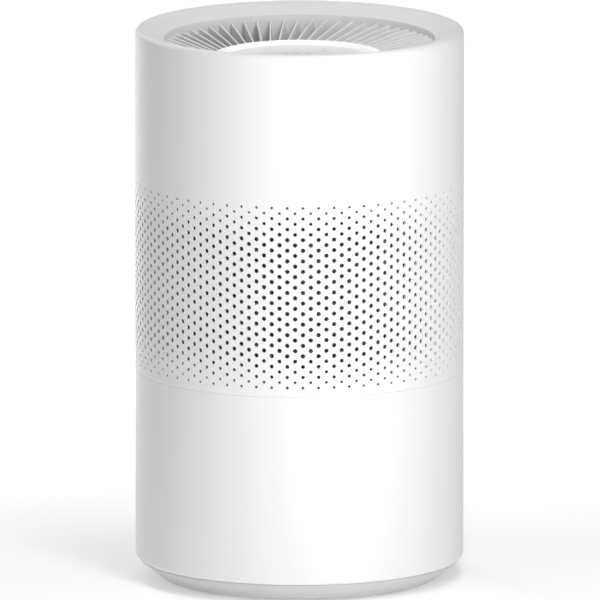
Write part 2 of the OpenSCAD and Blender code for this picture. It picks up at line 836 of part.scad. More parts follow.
module filter_top_cap() {
  color("white") rotate_extrude() polygon([
    [filter_bore_r, filter_top_z], [filter_r, filter_top_z], [filter_r, media_high_z - cap_lip],
    [filter_r - cap_t, media_high_z - cap_lip], [filter_r - cap_t, media_high_z],
    [filter_bore_r, media_high_z]
  ]);
}

module filter_gasket() {
  color("dimgray") ring(guard_r + 7, guard_r + 1, filter_top_z, deck_z);
}

module prefilter_mesh() {
  color("slategray") ring(mesh_r, mesh_r - mesh_t, media_low_z, media_high_z);
}

// Pleated sheet: a zigzag that runs between two radii
module hepa_media() {
  half = 180 / pleat_count;
  outer = [for (i = [0:2 * pleat_count - 1])
    let (r = i % 2 == 0 ? pleat_out_r : pleat_in_r + 1.6 * pleat_t, a = i * half)
      [r * cos(a), r * sin(a)]];
  inner = [for (i = [0:2 * pleat_count - 1])
    let (r = i % 2 == 0 ? pleat_out_r - 8 * pleat_t : pleat_in_r, a = i * half)
      [r * cos(a), r * sin(a)]];
  color("whitesmoke") translate([0, 0, media_low_z])
    linear_extrude(height = media_high_z - media_low_z) difference() {
      polygon(outer);
      polygon(inner);
    }
}

module carbon_core() {
  color([0.16, 0.16, 0.17])
    ring(filter_bore_r + carbon_t + 0.6, filter_bore_r + 0.6, media_low_z, media_high_z);
}

// Strap that folds flat under the filter
module filter_pull_tab() {
  color("royalblue") translate([-22, -8, filter_z - 1.2]) cube([44, 16, 1.2]);
}

upper_casing();
lower_casing();
base_cover();
rubber_feet();
outlet_grille();
panel_rim();
control_panel();
light_guide();
touch_board();
disc_housing();
fan_housing();
fan_deck();
inlet_guard();
motor_base();
motor_grommets();
motor_screws();
stator_core();
stator_coils();
motor_bearings();
motor_shaft();
rotor_can();
rotor_magnets();
impeller();
impeller_nut();
main_board();
board_parts();
board_screws();
sensor_module();
dc_jack();
jack_contact();
supply_lead();
interlock_switch();
switch_plunger();
casing_screws();
deck_screws();
filter_bottom_cap();
filter_top_cap();
filter_gasket();
prefilter_mesh();
hepa_media();
carbon_core();
filter_pull_tab();
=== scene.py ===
"""Looks of the air purifier: shells, grille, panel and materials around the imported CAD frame."""
import math

import bpy
import numpy as np
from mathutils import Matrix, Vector


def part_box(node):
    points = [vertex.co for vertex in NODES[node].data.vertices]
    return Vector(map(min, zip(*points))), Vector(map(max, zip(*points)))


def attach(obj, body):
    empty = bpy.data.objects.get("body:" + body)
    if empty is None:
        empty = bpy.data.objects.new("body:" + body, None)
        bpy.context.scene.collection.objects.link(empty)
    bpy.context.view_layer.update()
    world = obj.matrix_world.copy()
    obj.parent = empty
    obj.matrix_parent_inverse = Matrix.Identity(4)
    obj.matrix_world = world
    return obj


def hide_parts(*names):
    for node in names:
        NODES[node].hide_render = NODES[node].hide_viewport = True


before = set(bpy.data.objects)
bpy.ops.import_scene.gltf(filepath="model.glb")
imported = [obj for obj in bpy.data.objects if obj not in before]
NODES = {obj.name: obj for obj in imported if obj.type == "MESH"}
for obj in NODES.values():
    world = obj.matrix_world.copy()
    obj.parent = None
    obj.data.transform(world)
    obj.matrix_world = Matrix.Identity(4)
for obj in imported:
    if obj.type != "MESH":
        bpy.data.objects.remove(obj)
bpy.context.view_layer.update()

MM = 0.001


# ---------------------------------------------------------------- sizes, from the frame

def node_radius(node):
    low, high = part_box(node)
    return max(-low.x, high.x, -low.y, high.y)


BODY_R = node_radius("upper_casing")
BODY_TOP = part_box("upper_casing")[1].z
UPPER_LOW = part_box("upper_casing")[0].z
LOWER_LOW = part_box("lower_casing")[0].z
TONGUE_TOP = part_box("lower_casing")[1].z
SEAM_GAP = 0.3 * MM
SEAM_Z = UPPER_LOW - SEAM_GAP / 2
LOWER_TOP = SEAM_Z - SEAM_GAP / 2
WALL = 2.6 * MM
INNER_R = BODY_R - WALL
RIM_ROUND = 4 * MM
RIDGE_R = BODY_R - RIM_ROUND
GRILLE_R = node_radius("outlet_grille")
THROAT_R = GRILLE_R - 1.4 * MM
GRILLE_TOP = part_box("outlet_grille")[1].z
THROAT_Z = GRILLE_TOP + 0.15 * MM
LIP_FOOT = GRILLE_TOP + 0.02 * MM
LIP = 3.4 * MM
DISC_R = node_radius("panel_rim")
DISC_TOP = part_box("panel_rim")[1].z
RIM_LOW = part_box("panel_rim")[0].z
PANEL_R = node_radius("control_panel")
PANEL_LOW, PANEL_TOP = (p.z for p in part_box("control_panel"))
COVER_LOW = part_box("base_cover")[0].z
COVER_R = node_radius("base_cover")
FOOT_DEG = (45, 135, 225, 315)
FOOT_SPAN = 16
# The feet lie between the axes, so their box reaches only as far as their nearest corner
FEET_R = node_radius("rubber_feet") / math.cos(math.radians(FOOT_DEG[0] - FOOT_SPAN / 2))


# ---------------------------------------------------------------- node material helpers

def new_material(name):
    mat = bpy.data.materials.new(name)
    mat.use_nodes = True
    nodes = mat.node_tree.nodes
    shader = nodes["Principled BSDF"]
    return mat, mat.node_tree, shader


def node(tree, kind, **values):
    """Adds a node; values name its inputs or, if there is no such input, its properties."""
    made = tree.nodes.new(kind)
    for key, value in values.items():
        label = key.replace("_", " ").title()
        if label in made.inputs:
            made.inputs[label].default_value = value
        else:
            setattr(made, key, value)
    return made


def object_coordinates(tree, stretch=(1, 1, 1)):
    place = tree.nodes.new("ShaderNodeTexCoord")
    scale = node(tree, "ShaderNodeMapping")
    scale.inputs["Scale"].default_value = stretch
    tree.links.new(place.outputs["Object"], scale.inputs["Vector"])
    return scale.outputs["Vector"]


def noise(tree, at, scale, detail=3.0, rough=0.55):
    tex = node(tree, "ShaderNodeTexNoise")
    tex.inputs["Scale"].default_value = scale
    tex.inputs["Detail"].default_value = detail
    tex.inputs["Roughness"].default_value = rough
    tree.links.new(at, tex.inputs["Vector"])
    return tex.outputs["Fac"]


def spread(tree, value, low, high):
    """Maps 0..1 to low..high."""
    ramp = node(tree, "ShaderNodeMapRange")
    ramp.inputs["To Min"].default_value = low
    ramp.inputs["To Max"].default_value = high
    tree.links.new(value, ramp.inputs["Value"])
    return ramp.outputs["Result"]


def tint(tree, value, dark, light):
    mix = node(tree, "ShaderNodeMix", data_type="RGBA")
    mix.inputs[6].default_value = (*dark, 1)
    mix.inputs[7].default_value = (*light, 1)
    tree.links.new(value, mix.inputs[0])
    return mix.outputs[2]


def bump(tree, shader, height, depth, strength=0.5, under=None):
    made = node(tree, "ShaderNodeBump")
    made.inputs["Strength"].default_value = strength
    made.inputs["Distance"].default_value = depth
    tree.links.new(height, made.inputs["Height"])
    if under is not None:
        tree.links.new(under, made.inputs["Normal"])
    tree.links.new(made.outputs["Normal"], shader.inputs["Normal"])
    return made.outputs["Normal"]


def add(tree, a, b, weight=1.0):
    made = node(tree, "ShaderNodeMath", operation="MULTIPLY_ADD")
    tree.links.new(b, made.inputs[0])
    made.inputs[1].default_value = weight
    tree.links.new(a, made.inputs[2])
    return made.outputs[0]


def shade(rgb, factor):
    return tuple(min(1.0, c * factor) for c in rgb)


def plastic(name, rgb, rough=0.42, grain=1800, depth=0.02 * MM, mottle=0.02, coat=0.0):
    """Moulded plastic: fine spark-eroded grain, slow flow marks and a little uneven gloss."""
    mat, tree, shader = new_material(name)
    at = object_coordinates(tree)
    slow = noise(tree, at, 9, 2)
    fine = noise(tree, at, grain, 2, 0.6)
    colour = tint(tree, slow, shade(rgb, 1 - mottle), shade(rgb, 1 + mottle))
    tree.links.new(colour, shader.inputs["Base Color"])
    patchy = noise(tree, at, 55, 4)
    tree.links.new(spread(tree, patchy, rough - 0.04, rough + 0.06), shader.inputs["Roughness"])
    bump(tree, shader, add(tree, fine, slow, 0.3), depth)
    shader.inputs["Specular IOR Level"].default_value = 0.4
    shader.inputs["Coat Weight"].default_value = coat
    shader.inputs["Coat Roughness"].default_value = 0.12
    return mat


def rubber(name, rgb):
    mat, tree, shader = new_material(name)
    at = object_coordinates(tree)
    fine = noise(tree, at, 2600, 3, 0.7)
    dust = noise(tree, at, 160, 5, 0.65)
    tree.links.new(tint(tree, dust, shade(rgb, 0.8), shade(rgb, 1.3)), shader.inputs["Base Color"])
    tree.links.new(spread(tree, dust, 0.68, 0.9), shader.inputs["Roughness"])
    bump(tree, shader, fine, 0.04 * MM)
    return mat


def metal(name, rgb, rough=0.3, stretch=(1, 1, 14), wear=0.15):
    """Machined or plated metal with fine lines and small dull patches."""
    mat, tree, shader = new_material(name)
    lines = noise(tree, object_coordinates(tree, stretch), 900, 3, 0.7)
    patches = noise(tree, object_coordinates(tree), 120, 4, 0.6)
    colour = tint(tree, patches, shade(rgb, 1 - wear), shade(rgb, 1 + wear * 0.5))
    tree.links.new(colour, shader.inputs["Base Color"])
    shader.inputs["Metallic"].default_value = 1.0
    tree.links.new(spread(tree, add(tree, lines, patches, 0.6), rough - 0.08, rough + 0.2),
                   shader.inputs["Roughness"])
    bump(tree, shader, lines, 0.01 * MM)
    return mat


def laminated(name, rgb):
    """Stamped sheets stacked along Z."""
    mat, tree, shader = new_material(name)
    at = object_coordinates(tree)
    sheets = node(tree, "ShaderNodeTexWave", bands_direction="Z")
    sheets.inputs["Scale"].default_value = 320
    sheets.inputs["Distortion"].default_value = 0.2
    tree.links.new(at, sheets.inputs["Vector"])
    spots = noise(tree, at, 400, 4)
    colour = tint(tree, add(tree, spots, sheets.outputs["Fac"], 0.3), shade(rgb, 0.6), shade(rgb, 1.15))
    tree.links.new(colour, shader.inputs["Base Color"])
    shader.inputs["Metallic"].default_value = 0.85
    tree.links.new(spread(tree, spots, 0.35, 0.6), shader.inputs["Roughness"])
    bump(tree, shader, sheets.outputs["Fac"], 0.05 * MM)
    return mat


def winding(name, rgb):
    """Enamelled wire laid side by side."""
    mat, tree, shader = new_material(name)
    at = object_coordinates(tree)
    wires = node(tree, "ShaderNodeTexWave", bands_direction="Z", wave_profile="SIN")
    wires.inputs["Scale"].default_value = 700
    wires.inputs["Distortion"].default_value = 1.2
    wires.inputs["Detail Scale"].default_value = 60
    tree.links.new(at, wires.inputs["Vector"])
    # The grooves between the wires are painted darker, as shade, following the bump.
    colour = tint(tree, wires.outputs["Fac"], shade(rgb, 0.35), rgb)
    tree.links.new(colour, shader.inputs["Base Color"])
    shader.inputs["Metallic"].default_value = 0.9
    tree.links.new(spread(tree, noise(tree, at, 300), 0.2, 0.4), shader.inputs["Roughness"])
    bump(tree, shader, wires.outputs["Fac"], 0.15 * MM, 0.8)
    return mat


def net(name, rgb, pitch=1.1 * MM):
    """Fine woven net: two crossed families of threads, with painted shade in the openings between them."""
    mat, tree, shader = new_material(name)
    at = object_coordinates(tree)
    split = node(tree, "ShaderNodeSeparateXYZ")
    tree.links.new(at, split.inputs[0])
    angle = node(tree, "ShaderNodeMath", operation="ARCTAN2")
    tree.links.new(split.outputs["Y"], angle.inputs[0])
    tree.links.new(split.outputs["X"], angle.inputs[1])
    radius = node_radius("prefilter_mesh")
    threads = []
    for source, factor in ((angle.outputs[0], radius / pitch), (split.outputs["Z"], 1 / pitch)):
        phase = node(tree, "ShaderNodeMath", operation="MULTIPLY")
        tree.links.new(source, phase.inputs[0])
        phase.inputs[1].default_value = factor * 2 * math.pi
        wave = node(tree, "ShaderNodeMath", operation="COSINE")
        tree.links.new(phase.outputs[0], wave.inputs[0])
        threads.append(wave.outputs[0])
    top = node(tree, "ShaderNodeMath", operation="MAXIMUM")
    tree.links.new(threads[0], top.inputs[0])
    tree.links.new(threads[1], top.inputs[1])
    cover = spread(tree, top.outputs[0], 0, 1)
    cover.node.inputs["From Min"].default_value = 0.2
    cover.node.inputs["From Max"].default_value = 0.8
    # The openings between the threads are painted nearly black, as shade.
    tree.links.new(tint(tree, cover, shade(rgb, 0.15), rgb), shader.inputs["Base Color"])
    tree.links.new(spread(tree, noise(tree, at, 500), 0.6, 0.85), shader.inputs["Roughness"])
    bump(tree, shader, cover, 0.2 * MM, 0.8)
    return mat


def paper(name, rgb):
    mat, tree, shader = new_material(name)
    fibres = noise(tree, object_coordinates(tree, (1, 1, 0.35)), 1500, 5, 0.75)
    grey = noise(tree, object_coordinates(tree), 60, 4)
    tree.links.new(tint(tree, add(tree, fibres, grey, 0.5), shade(rgb, 0.8), rgb),
                   shader.inputs["Base Color"])
    tree.links.new(spread(tree, fibres, 0.8, 0.98), shader.inputs["Roughness"])
    bump(tree, shader, fibres, 0.12 * MM, 0.6)
    return mat


def granules(name, rgb, size=900, depth=0.4 * MM):
    """Carbon grains, foam cells or ferrite, by the size of their cells."""
    mat, tree, shader = new_material(name)
    at = object_coordinates(tree)
    cells = node(tree, "ShaderNodeTexVoronoi")
    cells.inputs["Scale"].default_value = size
    tree.links.new(at, cells.inputs["Vector"])
    tree.links.new(tint(tree, cells.outputs["Distance"], shade(rgb, 1.8), shade(rgb, 0.4)),
                   shader.inputs["Base Color"])
    tree.links.new(spread(tree, noise(tree, at, 350), 0.55, 0.9), shader.inputs["Roughness"])
    bump(tree, shader, cells.outputs["Distance"], depth, 0.7)
    return mat


def circuit(name, rgb, copper=(0.09, 0.42, 0.17)):
    """Solder mask over straight copper runs."""
    mat, tree, shader = new_material(name)
    at = object_coordinates(tree)
    runs = node(tree, "ShaderNodeTexBrick")
    runs.inputs["Scale"].default_value = 160
    runs.inputs["Mortar Size"].default_value = 0.06
    runs.inputs["Color1"].default_value = (*rgb, 1)
    runs.inputs["Color2"].default_value = (*shade(rgb, 1.25), 1)
    runs.inputs["Mortar"].default_value = (*copper, 1)
    turned = node(tree, "ShaderNodeMapping")
    turned.inputs["Rotation"].default_value = (math.radians(90), 0, 0)
    tree.links.new(at, turned.inputs["Vector"])
    tree.links.new(turned.outputs[0], runs.inputs["Vector"])
    tree.links.new(runs.outputs["Color"], shader.inputs["Base Color"])
    tree.links.new(spread(tree, noise(tree, at, 200), 0.28, 0.42), shader.inputs["Roughness"])
    bump(tree, shader, runs.outputs["Fac"], 0.05 * MM)
    return mat


def woven(name, rgb):
    """Flat strap with a diagonal rib."""
    mat, tree, shader = new_material(name)
    at = object_coordinates(tree)
    ribs = node(tree, "ShaderNodeTexWave", bands_direction="DIAGONAL")
    ribs.inputs["Scale"].default_value = 420
    ribs.inputs["Distortion"].default_value = 0.6
    tree.links.new(at, ribs.inputs["Vector"])
    # The troughs between the ribs are painted darker, as shade, following the bump.
    tree.links.new(tint(tree, ribs.outputs["Fac"], shade(rgb, 0.55), rgb), shader.inputs["Base Color"])
    tree.links.new(spread(tree, noise(tree, at, 700), 0.7, 0.9), shader.inputs["Roughness"])
    shader.inputs["Sheen Weight"].default_value = 0.3
    bump(tree, shader, ribs.outputs["Fac"], 0.15 * MM, 0.7)
    return mat


def clear_plastic(name):
    mat, tree, shader = new_material(name)
    at = object_coordinates(tree)
    haze = noise(tree, at, 300, 4)
    tree.links.new(tint(tree, haze, (0.8, 0.84, 0.88), (0.93, 0.95, 0.98)), shader.inputs["Base Color"])
    shader.inputs["Transmission Weight"].default_value = 0.7
    shader.inputs["IOR"].default_value = 1.49
    tree.links.new(spread(tree, haze, 0.12, 0.3), shader.inputs["Roughness"])
    bump(tree, shader, haze, 0.01 * MM)
    return mat


# ---------------------------------------------------------------- mesh helpers

def piece(name, verts, faces, body, material, stands_for=(), sharp=30):
    """A mesh object that rides on a body; edges sharper than the angle stay crisp."""
    mesh = bpy.data.meshes.new(name)
    mesh.from_pydata([tuple(map(float, v)) for v in verts], [], faces)
    mesh.validate()
    mesh.update()
    obj = bpy.data.objects.new(name, mesh)
    bpy.context.scene.collection.objects.link(obj)
    mesh.materials.append(material)
    mesh.shade_smooth()
    mesh.set_sharp_from_angle(angle=math.radians(sharp))
    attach(obj, body)
    if stands_for:
        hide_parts(*stands_for)
    return obj


def rounded(points, steps=6):
    """An outline of (x, y, radius) corners; each corner with a radius becomes an arc."""
    out = []
    n = len(points)
    for i, (x, y, r) in enumerate(points):
        here = np.array([x, y])
        if r <= 0:
            out.append((x, y))
            continue
        a = np.array(points[i - 1][:2]) - here
        b = np.array(points[(i + 1) % n][:2]) - here
        a /= np.linalg.norm(a)
        b /= np.linalg.norm(b)
        half = math.acos(np.clip(a @ b, -1, 1)) / 2
        reach = r / math.tan(half)
        centre = here + (a + b) / np.linalg.norm(a + b) * (r / math.sin(half))
        start, end = here + a * reach - centre, here + b * reach - centre
        first = math.atan2(start[1], start[0])
        turn = math.atan2(end[1], end[0]) - first
        turn = (turn + math.pi) % (2 * math.pi) - math.pi
        for k in range(steps + 1):
            angle = first + turn * k / steps
            out.append((centre[0] + r * math.cos(angle), centre[1] + r * math.sin(angle)))
    return out


def lathe(outline, segments=180):
    """Turns a closed (r, z) outline about Z; outline points on the axis become single points."""
    verts, rings = [], []
    for r, z in outline:
        if r < 1e-7:
            rings.append([len(verts)] * segments)
            verts.append((0, 0, z))
            continue
        rings.append([len(verts) + k for k in range(segments)])
        for k in range(segments):
            a = 2 * math.pi * k / segments
            verts.append((r * math.cos(a), r * math.sin(a), z))
    faces = []
    for low, high in zip(rings, rings[1:] + rings[:1]):
        if low[0] == low[1] and high[0] == high[1]:
            continue
        for k in range(segments):
            m = (k + 1) % segments
            face = [low[k], low[m], high[m], high[k]]
            if low[k] == low[m]:
                face = [low[k], high[m], high[k]]
            elif high[k] == high[m]:
                face = [low[k], low[m], high[m]]
            faces.append(face)
    return verts, faces


# ---------------------------------------------------------------- upper casing

HOLE_COLUMNS = 132          # half a column pitch apart in height, so that they interlock
HOLES_HIGH = 18             # holes in the taller of two neighbouring columns
HOLE_PITCH_Z = 7.146 * MM
FIRST_HOLE_Z = SEAM_Z + 6.5 * MM
HOLE_D = 3.1 * MM
BAND_WALL = 1.4 * MM        # the band is thinned from the inside
BAND_R = BODY_R - BAND_WALL
END_HOLE_SHARES = (0.62, 0.75, 0.88)   # the last three holes of each column grow smaller
FIRST_COLUMN_DEG = -88.8
STEP = 2 * math.pi / (2 * HOLE_COLUMNS)
SIDES = 12
CELL_RING = [(-1, -2), (0, -2), (1, -2), (1, -1), (1, 0), (1, 1),
             (1, 2), (0, 2), (-1, 2), (-1, 1), (-1, 0), (-1, -1)]
RING_START_DEG = -120       # direction of CELL_RING's first point from the middle


class Shell:
    """Vertices and faces of a shell round Z, on a grid of angle steps."""

    def __init__(self):
        self.verts, self.faces, self.known = [], [], {}

    def point(self, angle, r, z):
        self.verts.append((r * math.cos(angle), r * math.sin(angle), z))
        return len(self.verts) - 1

    def grid(self, key, k, r, z):
        """The shared vertex of one grid place, made when first asked for."""
        k %= 2 * HOLE_COLUMNS
        if (key, k) not in self.known:
            angle = math.radians(FIRST_COLUMN_DEG) + k * STEP
            self.known[key, k] = self.point(angle, r, z)
        return self.known[key, k]


def hole_size(i, count):
    from_end = min(i, count - 1 - i)
    return HOLE_D * (END_HOLE_SHARES[from_end] if from_end < len(END_HOLE_SHARES) else 1)


def perforated_band(shell):
    """Both faces of the intake band, with round holes through the wall."""
    quarter = HOLE_PITCH_Z / 4
    base_z = FIRST_HOLE_Z - HOLE_PITCH_Z / 2

    def at(layer, k, q):
        r = BODY_R if layer == "out" else BAND_R
        return shell.grid((layer, q), k, r, base_z + q * quarter)

    def quad(a, b, c, d, layer):
        shell.faces.append((a, b, c, d) if layer == "out" else (d, c, b, a))

    for column in range(HOLE_COLUMNS):
        k = 2 * column
        tall = column % 2 == 0
        count = HOLES_HIGH if tall else HOLES_HIGH - 1
        for i in range(count):
            q = 2 + 4 * i + (0 if tall else 2)
            z = base_z + q * quarter
            radius = hole_size(i, count) / 2
            rings = {}
            for layer, r in (("out", BODY_R), ("in", BAND_R)):
                ring = []
                for s in range(SIDES):
                    turn = math.radians(RING_START_DEG + s * 360 / SIDES)
                    angle = math.radians(FIRST_COLUMN_DEG) + k * STEP + radius * math.cos(turn) / BODY_R
                    ring.append(shell.point(angle, r, z + radius * math.sin(turn)))
                rings[layer] = ring
                edge = [at(layer, k + dk, q + dq) for dk, dq in CELL_RING]
                for s in range(SIDES):
                    n = (s + 1) % SIDES
                    quad(edge[s], edge[n], ring[n], ring[s], layer)
            for s in range(SIDES):
                n = (s + 1) % SIDES
                shell.faces.append((rings["out"][s], rings["out"][n], rings["in"][n], rings["in"][s]))
        if not tall:
            for q in (0, 4 * HOLES_HIGH - 2):
                for layer in ("out", "in"):
                    for dk in (-1, 0):
                        for dq in (0, 1):
                            quad(at(layer, k + dk, q + dq), at(layer, k + dk + 1, q + dq),
                                 at(layer, k + dk + 1, q + dq + 1), at(layer, k + dk, q + dq + 1), layer)
    return base_z, base_z + HOLES_HIGH * HOLE_PITCH_Z


VENT_DEG = 158
VENT_COUNT = 5
VENT_PITCH = 1.7 * MM
VENT_R = 0.5 * MM
VENT_DEPTH = 2 * MM
VENT_FIRST = 0.15 * MM      # from the ridge to the first vent's cell
RIDGE_BLEND = 2.2 * MM      # how softly the ridge bends into the slope
THROAT_ROUND = 0.8 * MM
EDGE = 0.12 * MM            # rounding of the crisp outer edges
SEAM_SHOWN = 0.09 * MM


def rim_surface(r):
    """Height of the slope at a radius."""
    reach = RIDGE_R - THROAT_R
    steep = (BODY_TOP - THROAT_Z - LIP) / (reach - RIDGE_BLEND * (1 - math.exp(-reach / RIDGE_BLEND)))
    x = RIDGE_R - r
    return BODY_TOP - steep * (x - RIDGE_BLEND * (1 - math.exp(-x / RIDGE_BLEND)))


def rim_profile(low_z):
    """Outline from the band's top over the rim to the lip's foot, and the row of the first vent cell."""
    rise = BODY_TOP - RIM_ROUND - low_z
    points = [(BODY_R, low_z + rise * t / 8) for t in range(1, 9)]
    arcs = 12
    for t in range(1, arcs):
        a = math.pi / 2 * t / arcs
        points.append((RIDGE_R + RIM_ROUND * math.cos(a), BODY_TOP - RIM_ROUND * (1 - math.sin(a))))
    points.append((RIDGE_R, BODY_TOP))
    first_vent_row = len(points) + 1
    radii = [RIDGE_R - VENT_FIRST - VENT_PITCH * q / 4 for q in range(4 * VENT_COUNT + 1)]
    radii += list(np.linspace(radii[-1], THROAT_R + THROAT_ROUND, 7)[1:])
    points += [(r, rim_surface(r)) for r in radii]
    edge_z = rim_surface(THROAT_R + THROAT_ROUND)
    for t in range(1, 6):
        a = math.pi / 2 * t / 5
        points.append((THROAT_R + THROAT_ROUND * (1 - math.sin(a)),
                       edge_z - THROAT_ROUND * (1 - math.cos(a))))
    points += [(THROAT_R, THROAT_Z), (THROAT_R, LIP_FOOT)]
    return points, first_vent_row


def upper_casing(material):
    shell = Shell()
    low_z, high_z = perforated_band(shell)
    outer, vent_row = rim_profile(high_z)
    slope = (BODY_TOP - THROAT_Z - LIP) / (RIDGE_R - THROAT_R)
    under_t = WALL * 1.1
    lip_r = THROAT_R + WALL
    inner = [(lip_r, LIP_FOOT), (lip_r, BODY_TOP - (RIDGE_R - lip_r) * slope - under_t),
             (RIDGE_R, BODY_TOP - under_t), (INNER_R, BODY_TOP - RIM_ROUND - 0.2 * MM),
             (INNER_R, high_z + WALL)]
    seam_top = SEAM_Z + SEAM_SHOWN / 2
    everywhere = range(2 * HOLE_COLUMNS)
    rows = [[shell.grid(("out", 4 * HOLES_HIGH), k, 0, 0) for k in everywhere]]
    for n, (r, z) in enumerate(outer + inner):
        rows.append([shell.grid(("rim", n), k, r, z) for k in everywhere])
    rows.append([shell.grid(("in", 4 * HOLES_HIGH), k, 0, 0) for k in everywhere])
    vent_k = round((VENT_DEG - FIRST_COLUMN_DEG) / math.degrees(STEP))
    vent_rows = [vent_row + 4 * i for i in range(VENT_COUNT)]
    skip = {(row + dq, (vent_k + dk) % len(everywhere))
            for row in vent_rows for dk in (-1, 0) for dq in range(4)}
    join_rows(shell, rows, skip)
    for row in vent_rows:
        vent(shell, rows, row, vent_k)

    foot = [(INNER_R, low_z - WALL / 2), (INNER_R, seam_top), (BODY_R - EDGE, seam_top),
            (BODY_R - EDGE * 0.3, seam_top + EDGE * 0.3), (BODY_R, seam_top + EDGE)]
    rows = [[shell.grid(("in", 0), k, 0, 0) for k in everywhere]]
    for n, (r, z) in enumerate(foot):
        rows.append([shell.grid(("foot", n), k, r, z) for k in everywhere])
    rows.append([shell.grid(("out", 0), k, 0, 0) for k in everywhere])
    join_rows(shell, rows, set())
    return piece("upper_casing_shell", shell.verts, shell.faces, "housing", material,
                 ["upper_casing"], sharp=40)


def join_rows(shell, rows, skip):
    count = 2 * HOLE_COLUMNS
    for n, (low, high) in enumerate(zip(rows, rows[1:])):
        for k in range(count):
            if (n, k) in skip:
                continue
            m = (k + 1) % count
            shell.faces.append((low[k], low[m], high[m], high[k]))


def vent(shell, rows, row, k):
    """A pin vent in the slope: a short round shaft with a floor, set in a block of four rows."""
    count = 2 * HOLE_COLUMNS
    block = [rows[row + 2 + dq][(k + dk) % count] for dk, dq in CELL_RING]
    middle = np.array(shell.verts[rows[row + 2][k]])
    out = np.array(shell.verts[rows[row][k]]) - np.array(shell.verts[rows[row + 4][k]])
    along = out / np.linalg.norm(out)
    side = np.array([-middle[1], middle[0], 0]) / np.hypot(middle[0], middle[1])
    normal = np.cross(side, -along)
    rings = []
    for depth in (0, VENT_DEPTH):
        ring = []
        for s in range(SIDES):
            turn = math.radians(RING_START_DEG + s * 360 / SIDES)
            p = middle + VENT_R * (math.cos(turn) * side - math.sin(turn) * along) - depth * normal
            shell.verts.append(tuple(p))
            ring.append(len(shell.verts) - 1)
        rings.append(ring)
    for s in range(SIDES):
        n = (s + 1) % SIDES
        shell.faces.append((block[s], block[n], rings[0][n], rings[0][s]))
        shell.faces.append((rings[0][s], rings[0][n], rings[1][n], rings[1][s]))
    shell.faces.append(tuple(rings[1]))


# ---------------------------------------------------------------- solids to add and cut

def drum(r, low, high, at=(0, 0), segments=48):
    """An upright cylinder."""
    verts, faces = lathe([(0, low), (r, low), (r, high), (0, high)], segments)
    return [(x + at[0], y + at[1], z) for x, y, z in verts], faces


def rear_drum(r, near, far, at_z, segments=64):
    """A cylinder along +Y that starts at y = near."""
    verts, faces = drum(r, near, far, segments=segments)
    return [(-x, z, y + at_z) for x, y, z in verts], faces


def block(low, high, turn_deg=0):
    """A box between two corners, turned about Z."""
    xs, ys, zs = zip(low, high)
    c, s = math.cos(math.radians(turn_deg)), math.sin(math.radians(turn_deg))
    verts = [(x * c - y * s, x * s + y * c, z) for z in zs for y in ys for x in xs]
    faces = [(0, 2, 3, 1), (4, 5, 7, 6), (0, 1, 5, 4), (2, 6, 7, 3), (0, 4, 6, 2), (1, 3, 7, 5)]
    return verts, faces


def arc_block(outer, inner, low, high, angle_deg, span_deg, steps=12):
    """A stretch of a square ring, centred on an angle."""
    verts, faces = [], []
    for n in range(steps + 1):
        a = math.radians(angle_deg + span_deg * (n / steps - 0.5))
        for r, z in ((inner, low), (outer, low), (outer, high), (inner, high)):
            verts.append((r * math.cos(a), r * math.sin(a), z))
        if n:
            b, e = 4 * (n - 1), 4 * n
            faces += [(b + i, e + i, e + (i + 1) % 4, b + (i + 1) % 4) for i in range(4)]
    faces += [(0, 1, 2, 3), tuple(4 * steps + i for i in (3, 2, 1, 0))]
    return verts, faces


def mesh_object(name, solid):
    mesh = bpy.data.meshes.new(name)
    mesh.from_pydata([tuple(map(float, v)) for v in solid[0]], [], solid[1])
    mesh.validate()
    mesh.update()
    obj = bpy.data.objects.new(name, mesh)
    bpy.context.scene.collection.objects.link(obj)
    return obj


def carve(base, added=(), cut=()):
    """base with some solids joined on and others taken out, as vertices and faces."""
    obj = mesh_object("carve_base", base)
    tools = []
    for operation, solids in (("UNION", added), ("DIFFERENCE", cut)):
        for solid in solids:
            tool = mesh_object("carve_tool", solid)
            tools.append(tool)
            step = obj.modifiers.new(operation, "BOOLEAN")
            step.operation, step.object, step.solver = operation, tool, "EXACT"
    bpy.context.view_layer.update()
    made = bpy.data.meshes.new_from_object(obj.evaluated_get(bpy.context.evaluated_depsgraph_get()))
    verts = [tuple(v.co) for v in made.vertices]
    faces = [tuple(f.vertices) for f in made.polygons]
    for tool in tools + [obj]:
        bpy.data.objects.remove(tool)
    bpy.data.meshes.remove(made)
    return verts, faces


def true_round(obj, radius, tolerance=0.02 * MM):
    """Gives corners on an upright cylinder its exact normals, so that cuts don't show in its gloss."""
    mesh = obj.data
    normals = [Vector(n.vector) for n in mesh.corner_normals]
    for face in mesh.polygons:
        if abs(face.normal.z) > 0.05:
            continue
        spots = [mesh.vertices[v].co for v in face.vertices]
        if all(abs(math.hypot(p.x, p.y) - radius) < tolerance for p in spots):
            way = math.copysign(1, face.normal.x * face.center.x + face.normal.y * face.center.y)
            for corner, p in zip(face.loop_indices, spots):
                normals[corner] = Vector((p.x, p.y, 0)).normalized() * way
    mesh.normals_split_custom_set(normals)


# ---------------------------------------------------------------- lower casing

SCREW_DEG = (45, 135, 225, 315)
BOSS_R = 4 * MM
BOSS_AT = INNER_R - BOSS_R - 3 * MM
BOSS_H = 14.6 * MM
SCREW_HOLE_R = 1.7 * MM
LEDGE_T = 3 * MM
LUG_R = INNER_R - 2.6 * MM
LEDGE_R = LUG_R - 3.6 * MM
LUG_DEG = (30, 150, 270)
LUG_SPAN = 14
TWIST = 20
JACK_Z = (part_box("dc_jack")[0].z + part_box("dc_jack")[1].z) / 2
JACK_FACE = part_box("dc_jack")[1].y
JACK_HOLE_R = 4.15 * MM
RECESS_R = 7 * MM
RECESS_WALL = 2 * MM
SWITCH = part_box("interlock_switch")
SWITCH_DEG = 120
EAR_OFFSET = 7 * MM         # of the two ears that hold the switch, from its middle
RIB_HALF = 1 * MM           # half the thickness of a rib or an ear
STOP_H = 4.8 * MM           # of the stops at the ends of the lugs' travel


